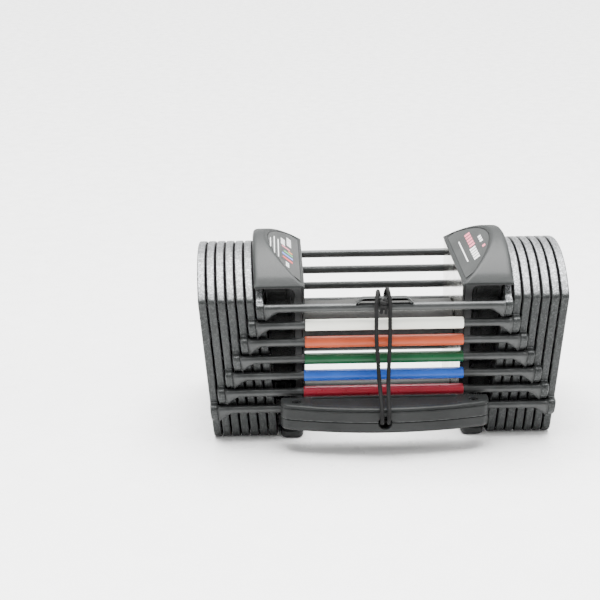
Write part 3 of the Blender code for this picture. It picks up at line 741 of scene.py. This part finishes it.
def dress_cheek(cheek):
    """Polished faces, and black paint on the narrow edges."""
    mesh = cheek.data
    mesh.materials.clear()
    mesh.materials.append(CHEEK)
    mesh.materials.append(NYLON)
    normals = np.zeros(3 * len(mesh.polygons))
    mesh.polygons.foreach_get("normal", normals)
    edges = np.abs(normals.reshape(-1, 3)[:, 0]) < 0.5
    mesh.polygons.foreach_set("material_index", edges.astype(np.int32))


for side, word in ((-1, "left"), (1, "right")):
    comb = comb_loop() * np.array([side, 1.0])
    comb = comb[::-1] if side < 0 else comb
    piece = slab(word + "_column_comb", comb, lambda z: -column_half_depth(z),
                 lambda z: column_half_depth(z), 1, 0.6, NYLON, "lifted_block")
    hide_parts(word + "_column")
    piece = skin(word + "_foot_pad_soft", foot_rings() * np.array([side, 1, 1]), NYLON,
                 "lifted_block")
    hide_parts(word + "_foot_pad")
    dress_cheek(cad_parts[word + "_cheek"])
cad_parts["grip_core"].data.materials.clear()
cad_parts["grip_core"].data.materials.append(STEEL)
print("columns, pads and cheeks,", len(comb_loop()), "points round a comb")

# %% [markdown]
# ## The caps
#
# A cap is a moulded hood. It could be a block with a plane cut and bevels,
# but the facet's recess follows the curved crown, which a plane cut does not
# give. So the section across X is the same kind of loop at every depth: up
# the hand side, along an inclined facet, over the crown and down the outer
# side. The crown follows a long arc from front to back, and the recess narrows
# to a point at each end. Corners are rounded by small quadratic curves.

# %% Rounded corners, many loops at once
CAP_CREST, CAP_RADIUS = 143.2, 100.0
CAP_LOW, FACET_X, FACET_Z = 119.5, 57.5, 120.2
SLOPE = 0.80
STEEP = math.hypot(1.0, SLOPE)


def rounded_loops(corners, cuts, steps=5):
    """Replace each corner of (rows, corners, 2) loops by a quadratic curve.

    The curve starts and ends a cut away from the corner, or nearly half way
    to the next corner if that is closer. One more point on each side keeps
    the flat between two corners flat.
    """
    before = np.roll(corners, 1, 1) - corners
    after = np.roll(corners, -1, 1) - corners
    far_b = np.linalg.norm(before, axis=2, keepdims=True) + 1e-9
    far_a = np.linalg.norm(after, axis=2, keepdims=True) + 1e-9
    cut = np.asarray(cuts, float).reshape(1, -1, 1)
    start = corners + before / far_b * np.minimum(cut, 0.47 * far_b)
    end = corners + after / far_a * np.minimum(cut, 0.47 * far_a)
    t = np.linspace(0, 1, steps).reshape(1, 1, -1, 1)
    curve = ((1 - t) ** 2 * start[:, :, None] + 2 * t * (1 - t) * corners[:, :, None]
             + t ** 2 * end[:, :, None])
    guard_b = corners + before / far_b * np.minimum(cut + 0.5, 0.49 * far_b)
    guard_a = corners + after / far_a * np.minimum(cut + 0.5, 0.49 * far_a)
    curve = np.concatenate([guard_b[:, :, None], curve, guard_a[:, :, None]], 2)
    return curve.reshape(corners.shape[0], -1, 2)


print("rounded_loops() is ready; the caps' facet rises", SLOPE, "mm per mm")


# %% Cap surface
def cap_top(y):
    """Crown height: the long arc, bent down to the lip at both ends."""
    arc = CAP_CREST - CAP_RADIUS + np.sqrt(CAP_RADIUS ** 2 - y ** 2)
    gone = np.clip((np.abs(y) - 54.5) / 6.5, 0, 1)
    return arc - (arc - 120.5) * (1 - np.sqrt(np.clip(1 - gone ** 2, 0, 1)))


def facet_end(y):
    """Length of the inclined facet at depth y, along its slope."""
    return (cap_top(y) - FACET_Z) / SLOPE * STEEP


def on_facet(run, lift):
    """Point at a distance up the facet and above it, as (x, z)."""
    x = FACET_X + run / STEEP - lift * SLOPE / STEEP
    return x, FACET_Z + run * SLOPE / STEEP + lift / STEEP


def cap_sections(y):
    """Section corners (rows, 12, 2) of a cap at depths y."""
    top = cap_top(y)
    length = facet_end(y)
    room = np.clip((length - 6.5) / 5.0, 0, 1)
    recess = 0.75 * room
    start = np.minimum(2.3 + 0 * y, 0.3 * length)
    stop = np.maximum(length - 2.9, 0.6 * length)
    outer = plate_outer_x(1, top) + 0.35 - 0.9
    over = CREST_Z - CREST_RADIUS + np.sqrt(CREST_RADIUS ** 2 - y ** 2) + 0.8
    cut = np.clip(over, 119.9, top - 1.2)
    wall = plate_inner_x(1, cut) - 0.6
    low = CAP_LOW + 0 * y
    edge_x, edge_z = on_facet(0 * y, 0 * y)
    points = [(edge_x, low), (edge_x, np.minimum(edge_z, top - 0.2)),
              on_facet(start, 0 * y), on_facet(start + 0.35, -recess),
              on_facet(stop - 0.35, -recess), on_facet(stop, 0 * y),
              on_facet(length, 0 * y), (outer, top),
              (plate_outer_x(1, cut) + 0.35, np.maximum(top - 7.0, cut + 0.3)),
              (plate_outer_x(1, cut) + 0.35, cut), (wall, cut),
              (plate_inner_x(1, CAP_LOW) - 0.6 + 0 * y, low)]
    return np.stack([np.stack(pair, -1) for pair in points], 1)


CAP_CUTS = [0.4, 1.0, 0.25, 0.25, 0.25, 0.25, 2.2, 4.2, 3.0, 0.4, 0.5, 0.4]
depths = 61.0 * np.sin(np.linspace(-np.pi / 2, np.pi / 2, 121))
for side, word in ((-1, "left"), (1, "right")):
    loops = rounded_loops(cap_sections(depths), CAP_CUTS)
    y = np.repeat(depths[:, None], loops.shape[1], 1)
    rings = np.stack([side * loops[..., 0], y, loops[..., 1]], -1)
    piece = skin(word + "_cap_hood", rings, CAP, "lifted_block", sharp=50.0)
    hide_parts(word + "_cap")
print("caps: crown", CAP_CREST, "mm, facet", round(float(facet_end(np.zeros(1))[0]), 1),
      "mm long in the middle")

# %% [markdown]
# ### Labels and their print
#
# A thin label lies in each recess. Its print is generic: blocks and bars of
# colour on the right one, a small chart in the sleeves' colours on the left
# one. The print could be a mask in the label's finish; thin closed slabs,
# 0.07 mm high, keep crisp borders in every view.


# %% Labels
def facet_point(side, run, y, lift):
    """Point on a facet in millimetres, from slope distance, depth and lift."""
    x, z = on_facet(run, lift)
    return np.stack([side * x, y + 0 * x, z + 0 * y], -1)


depths = np.linspace(-51.5, 51.5, 90)
for side, word in ((-1, "left"), (1, "right")):
    stop = facet_end(depths) - 3.9
    start = 3.3 + 0 * depths
    corners = [(start, -0.68), (stop, -0.68), (stop, -0.2), (start, -0.2)]
    rings = np.stack([facet_point(side, run, depths, lift) for run, lift in corners], 1)
    piece = skin(word + "_label_panel", rings, LABEL, "lifted_block")
    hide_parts(word + "_label")
print("labels", round(float(stop.max() - 3.3), 1), "mm wide")


# %% Print marks
def print_marks(name, side, boxes, look):
    """Thin slabs on a label; each box is (run0, run1, y0, y1)."""
    box = np.array(boxes, float)
    pick = np.array([(0, 2), (1, 2), (1, 3), (0, 3)])
    rings = []
    for lift in (-0.22, -0.15):
        runs, ys = box[:, pick[:, 0]], box[:, pick[:, 1]]
        rings.append(facet_point(side, runs, ys, lift))
    points = np.stack(rings, 1).reshape(-1, 3) + np.array([0.0, MIDDLE_Y, 0.0])
    cube = np.array([(3, 2, 1, 0), (4, 5, 6, 7), (0, 1, 5, 4), (1, 2, 6, 5),
                     (2, 3, 7, 6), (3, 0, 4, 7)])
    cube = cube if side > 0 else cube[:, ::-1]
    faces = (cube[None] + 8 * np.arange(len(box))[:, None, None]).reshape(-1, 4)
    mesh = bpy.data.meshes.new(name)
    mesh.from_pydata((points * MM).tolist(), [], faces.tolist())
    mesh.materials.append(look)
    piece = bpy.data.objects.new(name, mesh)
    bpy.context.scene.collection.objects.link(piece)
    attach(piece, "lifted_block")


def block_row(run0, run1, y0, y1, count, share=0.72):
    """Row of equal blocks between two depths."""
    pitch = (y1 - y0) / count
    return [(run0, run1, y0 + pitch * i, y0 + pitch * (i + share))
            for i in range(count)]


print_marks("right_print_pink", 1, block_row(15.8, 20.6, 30.0, -4.0, 5)
            + [(24.8, 27.4, -15.0, -19.5)], PRINTS["pink"])
print_marks("right_print_white", 1, block_row(14.9, 20.0, -5.5, -33.0, 5)
            + [(9.4, 10.4, 26.0, -25.5)] + block_row(24.8, 27.4, 8.0, -8.0, 3),
            PRINTS["white"])
print_marks("left_print_white", -1, [(30.2, 31.0, 3.0, -22.0), (26.5, 27.4, 14.0, -32.0),
            (22.7, 23.6, 14.0, -31.0)] + block_row(16.6, 20.4, 24.0, 8.0, 5)
            + block_row(10.4, 14.6, 36.0, 14.0, 7) + block_row(13.4, 16.4, -30.0, -41.0, 4),
            PRINTS["white"])
for colour, chip in [("pink", (12.0, 19.6, 6.6, 4.0)), ("orange", (9.6, 13.4, 1.4, -1.0)),
                     ("green", (9.4, 17.6, -4.0, -7.0)),
                     ("blue", (9.4, 19.4, -11.4, -15.0)),
                     ("red", (9.8, 19.0, -20.0, -24.0))]:
    print_marks("left_print_" + colour, -1, [chip], PRINTS[colour])
print("print marks laid on both labels")

# %% [markdown]
# ## The selector pin
#
# Two moulded halves make a bowed handle with a seam between them. The upper
# half has a lip with a groove under it, a recessed top between two screw pads,
# and a low rim along its back. Its section is a loop of corners that changes
# along X, which gives the groove and the rim real depth. Round holes do not
# fit a grid of sections, so the screw wells and the cord's bore are cut from
# the finished meshes with booleans, applied at once.

# %% Handle sections
HANDLE_HALF = 76.0
HANDLE_BACK = -70.0
SEAM_Z = 26.75


def handle_front(x):
    """Front face: bowed out by 10.5 mm, rounded at both ends."""
    bow = -83.0 - 10.5 * (1 - (x / HANDLE_HALF) ** 2)
    end = np.clip(HANDLE_HALF - np.abs(x), 0, 6.0)
    return bow + 6.0 - np.sqrt(np.clip(36.0 - (6.0 - end) ** 2, 0, None))


def end_draw(x, radius=1.6):
    """How far a section shrinks near the handle's ends."""
    end = np.clip(HANDLE_HALF - np.abs(x), 0, radius)
    return radius - np.sqrt(np.clip(radius ** 2 - (radius - end) ** 2, 0, None))


def upper_sections(x):
    """Corners of the upper half: face, groove, lip, ridge, floor, rim."""
    front = handle_front(x)
    draw = end_draw(x)
    middle = 1 / (1 + np.exp(np.clip((np.abs(x) - 53.0) / 0.45, -40, 40)))
    floor = 38.0 - 1.1 * middle - draw
    rim = 38.0 + 0.6 * middle - draw
    ridge = 38.0 - 0.25 * middle - draw
    low = SEAM_Z + 0.15 + 0 * x
    back = HANDLE_BACK - 0.6 * draw
    y0 = front + draw
    points = [(back, low), (y0, low), (y0, 34.6 + 0 * x), (y0 + 1.0, 35.0 + 0 * x),
              (y0 + 0.9, 35.7 + 0 * x), (y0 + 0.15, 36.1 + 0 * x),
              (y0 + 1.5, ridge - 0.1), (np.minimum(y0 + 5.4, back - 4.0), ridge),
              (np.minimum(y0 + 6.4, back - 3.2), floor), (back - 1.9, floor),
              (back - 1.5, rim), (back, rim)]
    return np.stack([np.stack(pair, -1) for pair in points], 1)


def lower_sections(x):
    """Corners of the lower half, with a slanted bottom edge."""
    front = handle_front(x)
    draw = end_draw(x)
    high = SEAM_Z - 0.15 + 0 * x
    back = HANDLE_BACK - 0.6 * draw
    y0 = front + draw
    points = [(back, 17.6 + draw), (y0 + 2.4, 17.6 + draw), (y0, 20.6 + 0.6 * draw),
              (y0, high), (back, high)]
    return np.stack([np.stack(pair, -1) for pair in points], 1)


def handle_half(name, sections, cuts):
    """Handle half: sections in (y, z) carried along X."""
    middle = np.linspace(-72.0, 72.0, 121)
    ends = 72.0 + 3.98 * np.sin(np.linspace(0.05, np.pi / 2, 10))
    x = np.concatenate([-ends[::-1], middle, ends])
    loops = rounded_loops(sections(x), cuts, 4)
    far = np.repeat(x[:, None], loops.shape[1], 1)
    return skin(name, np.stack([far, loops[..., 0], loops[..., 1]], -1), HANDLE, None)


def drill(piece, cutters):
    """Subtract closed cutters from a mesh, keep the result, drop the cutters."""
    for cutter in cutters:
        step = piece.modifiers.new("drill", "BOOLEAN")
        step.operation = "DIFFERENCE"
        step.solver = "EXACT"
        step.object = cutter
    bpy.context.view_layer.update()
    graph = bpy.context.evaluated_depsgraph_get()
    result = bpy.data.meshes.new_from_object(piece.evaluated_get(graph))
    piece.modifiers.clear()
    piece.data = result
    result.polygons.foreach_set("use_smooth", np.ones(len(result.polygons), bool))
    result.set_sharp_from_angle(angle=math.radians(38.0))
    for cutter in cutters:
        bpy.data.objects.remove(cutter)


print("handle bow:", round(float(handle_front(0.0)), 1), "mm at the middle")


# %% Handle halves with their holes
HOLE_X = -1.0
SCREW_PLACE = (64.5, -77.5)
upper = handle_half("pin_handle_upper_shell", upper_sections,
                    [0.3, 0.5, 0.5, 0.3, 0.3, 0.6, 1.6, 0.7, 0.5, 0.4, 0.4, 0.4])
lower = handle_half("pin_handle_lower_shell", lower_sections, [0.4, 1.6, 1.6, 0.5, 0.3])


def cord_bore(name):
    """Bore for the cord along Y with a wide rounded mouth."""
    mouth = -93.5
    profile = np.array([(mouth - 4.0, 8.2), (mouth - 0.3, 5.5), (mouth + 0.5, 4.9),
                        (mouth + 1.3, 4.6), (mouth + 9.0, 4.6)])
    return turned(name, "y", (HOLE_X, 0, SEAM_Z), profile, HANDLE, None, sides=48)


wells = [turned("screw_well", "z", (side * SCREW_PLACE[0], SCREW_PLACE[1], 0),
                np.array([(35.2, 3.3), (37.5, 3.3), (38.4, 4.0), (40.0, 4.0)]),
                HANDLE, None, sides=40) for side in (-1, 1)]
drill(upper, wells + [cord_bore("bore_upper")])
drill(lower, [cord_bore("bore_lower")])
for piece, node in ((upper, "pin_handle_upper"), (lower, "pin_handle_lower")):
    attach(piece, "selector_pin")
    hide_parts(node)
print("handle halves:", len(upper.data.polygons), "and", len(lower.data.polygons),
      "faces")


# %% Screws with a hex socket, and prongs
def screw_socket(along, turn):
    """Radius change that makes the inner rows hexagonal."""
    deep = np.array([0, 0, 0, 0, 0, 1, 1, 1.0]).reshape(-1, 1)
    bent = np.mod(turn, np.pi / 3) - np.pi / 6
    return deep * 1.15 * (1 / np.cos(bent) - 1.08)


for side, word in ((-1, "left"), (1, "right")):
    profile = np.array([(35.3, 2.6), (36.7, 2.6), (37.1, 2.35), (37.25, 1.9),
                        (37.25, 1.5), (37.2, 1.25), (36.2, 1.2), (36.1, 0.4)])
    piece = turned("pin_screw_%s_head" % word, "z",
                   (side * SCREW_PLACE[0], SCREW_PLACE[1], 0), profile, SCREW,
                   "selector_pin", sides=48, ripple=screw_socket)
    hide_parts("pin_screw_" + word)
    profile = np.array([(-77.9, 2.6), (-77.7, 2.8), (66.5, 2.8), (69.5, 2.2),
                        (71.2, 1.4), (71.9, 0.6)])
    piece = turned("pin_prong_%s_rod" % word, "y", (side * 71.0, 0, 32.85), profile,
                   STEEL, "selector_pin", sides=32)
    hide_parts("pin_prong_" + word)
print("screws and prongs")

# %% [markdown]
# ## The bail
#
# A bent steel strap stands on the innermost front rail and holds the cord.
# Real straps are folded from flat strip. Folding a plane with Solidify would
# work; with rounded bends in the outline, the slab function gives the same
# strip and a true thickness at once.

# %% Bail
BAIL_RISE, BAIL_THICK = 4.4, 1.1
low = rail_z(1) + RAIL_RADIUS
high = low + BAIL_RISE
under = high - BAIL_THICK
outline = np.array([[(-20.9, low), (-19.0, low), (-15.3, under), (15.3, under),
                     (19.0, low), (20.9, low), (16.9, high), (-16.9, high)]])
bail = rounded_loops(outline, [0.2, 0.8, 1.4, 1.4, 0.8, 0.2, 2.0, 2.0], 7)[0]
piece = slab("cord_bail_strap", bail, lambda z: 0 * z - rail_y(1) - 2.6,
             lambda z: 0 * z - rail_y(1) + 2.6, 1, 0.25, RAIL, "lifted_block")
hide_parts("cord_bail")
print("bail", round(high - low, 2), "mm high")

# %% [markdown]
# ## The elastic cord and its knot
#
# A limp elastic cord of 3 mm keeps the pin from being lost. It runs from the
# knot under and round the bail, down into the handle, and back up. A curve
# object with a round bevel would be quick but smooth. Here Catmull-Rom curves
# smooth the same route as the solid model's, and a tube with a fine braid
# follows it: two families of spiral ridges cross each other, and the height
# is the larger of the two. The cord is attached to no body.


# %% The route
CORD_RADIUS = 1.5


def cord_route():
    """Control points of both strands, in millimetres."""
    axis_y = -rail_y(1)
    under = rail_z(1) + RAIL_RADIUS + (BAIL_RISE - BAIL_THICK) / 2
    over = rail_z(1) + RAIL_RADIUS + BAIL_RISE + CORD_RADIUS + 1.4
    front, mouth, seam = -72.6, -93.5, SEAM_Z
    half = np.array([
        (1.9, axis_y - 3.5, under, 0.0), (1.8, axis_y - 2.0, under, 0.0),
        (1.7, axis_y + 0.8, under, 0.0), (2.0, axis_y + 4.2, under + 0.3, 0.0),
        (2.5, axis_y + 6.2, under + 3.0, 0.3), (3.0, axis_y + 4.8, over - 0.4, 0.8),
        (3.5, axis_y + 1.4, over + 0.7, 1.6), (4.0, axis_y - 2.2, over - 0.5, 1.4),
        (4.6, axis_y - 5.2, over - 3.8, 0.6), (4.9, front, rail_z(1) + 2.0, 0.0),
        (4.9, front, 97.0, 0.0), (4.9, front - 0.6, 84.0, 0.0),
        (4.2, front - 2.6, 71.0, 0.0), (3.3, front - 7.2, 54.0, 0.0),
        (2.7, mouth + 3.6, 43.0, 0.0), (2.5, mouth - 2.6, 36.6, 0.0),
        (2.4, mouth - 3.6, 31.4, 0.0), (2.3, mouth - 1.8, 27.8, 0.0),
        (2.2, mouth + 2.5, seam, 0.0)])
    share = np.clip((half[:, 2] - seam) / (rail_z(1) - seam), 0, 1)
    middle = HOLE_X + (-1.5 - HOLE_X) * share
    left = np.stack([middle - half[:, 0], half[:, 1], half[:, 2]], -1)
    right = np.stack([middle + half[:, 0], half[:, 1], half[:, 2] + half[:, 3]], -1)
    return np.vstack([left, [(HOLE_X, mouth + 4.9, seam)], right[::-1]])


def smooth_line(controls, count):
    """Catmull-Rom curve through the controls, at even steps."""
    p = np.vstack([controls[:1], controls, controls[-1:]])
    t = np.linspace(0, 1, 24, endpoint=False)[None, :, None]
    a, b, c, d = p[:-3, None], p[1:-2, None], p[2:-1, None], p[3:, None]
    line = 0.5 * (2 * b + (c - a) * t + (2 * a - 5 * b + 4 * c - d) * t ** 2
                  + (3 * b - a - 3 * c + d) * t ** 3)
    line = np.vstack([line.reshape(-1, 3), controls[-1:]])
    run = np.concatenate([[0], np.cumsum(np.linalg.norm(np.diff(line, axis=0), axis=1))])
    spots = np.linspace(0, run[-1], count)
    return np.stack([np.interp(spots, run, line[:, i]) for i in range(3)], -1), run[-1]


print(len(cord_route()), "control points on the cord's route")


# %% Tubes along a line
def tube_rings(line, radius, sides, relief=0.0):
    """Rings across a line, with frames carried along without twist.

    The frame at each point is made from the direction and one fixed slanted
    vector. relief lifts two crossing families of spiral ridges.
    """
    along = np.gradient(line, axis=0)
    along /= np.linalg.norm(along, axis=1)[:, None]
    fixed = np.array([0.94, 0.21, 0.27])
    side = np.cross(along, fixed)
    side /= np.linalg.norm(side, axis=1)[:, None]
    other = np.cross(along, side)
    turn = np.linspace(0, 2 * np.pi, sides, endpoint=False)[None, :]
    run = np.arange(len(line))[:, None] * np.linalg.norm(line[1] - line[0])
    ridge = np.maximum(np.sin(4 * turn + 2.6 * run), np.sin(4 * turn - 2.6 * run))
    size = (radius + relief * (ridge - 1))[..., None]
    return (line[:, None] + size * (np.cos(turn)[..., None] * side[:, None]
                                    + np.sin(turn)[..., None] * other[:, None]))


BRAID = finish("black_braid", (0.005, 0.005, 0.005), (0.011, 0.011, 0.011), 0.75,
               bump=0.00012, grain=1800.0, edge=(0.03, 0.03, 0.03), specular=0.15)
line, cord_length = smooth_line(cord_route(), 560)
cord = skin("elastic_cord", tube_rings(line, CORD_RADIUS, 24, 0.07), BRAID, None, sharp=80.0)
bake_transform(cord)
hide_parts("pin_cord")
print("cord length", round(cord_length, 1), "mm")

# %% Knot
turn = np.linspace(0, 4.4 * np.pi, 90)
wraps = np.stack([-1.5 + 1.45 * np.cos(turn), -72.9 + 1.15 * np.sin(turn),
                  113.6 - 5.6 * turn / turn[-1]], -1)
knot = skin("cord_knot_wraps", tube_rings(wraps, 1.32, 16, 0.06), BRAID, "lifted_block",
            sharp=80.0)
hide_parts("cord_knot")
for name, start, end in (("left", (-2.5, -72.3, 109.0), (-3.3, -72.7, 103.2)),
                         ("right", (-0.5, -72.5, 109.0), (0.3, -73.2, 103.0))):
    share = np.linspace(0, 1, 24)[:, None]
    path = np.array(start) * (1 - share) + np.array(end) * share
    path[:, 0] += 0.5 * np.sin(share[:, 0] * 3.0)
    skin("cord_tail_" + name, tube_rings(path, 1.3, 16, 0.06), BRAID,
                      "lifted_block", sharp=80.0)
print("knot and tails")

# %% [markdown]
# ## The table
#
# A plain white table, a little glossy, so that the feet leave a faint mirror
# image. A curved backdrop would hide the horizon, but at this angle the table
# alone fills the view. It belongs to the stage and not to the object.

# %% Table
floor_mesh = bpy.data.meshes.new("white_table")
reach = 6.0
floor_mesh.from_pydata([(-reach, -reach, 0), (reach, -reach, 0), (reach, reach, 0),
                        (-reach, reach, 0)], [], [(0, 1, 2, 3)])
floor = bpy.data.objects.new("white_table", floor_mesh)
bpy.context.scene.collection.objects.link(floor)
floor.data.materials.append(finish("white_table_top", (0.9, 0.9, 0.895),
                                   (0.92, 0.92, 0.915), 0.3, bump=0.00001, grain=60.0))
print("table", 2 * reach, "m wide")
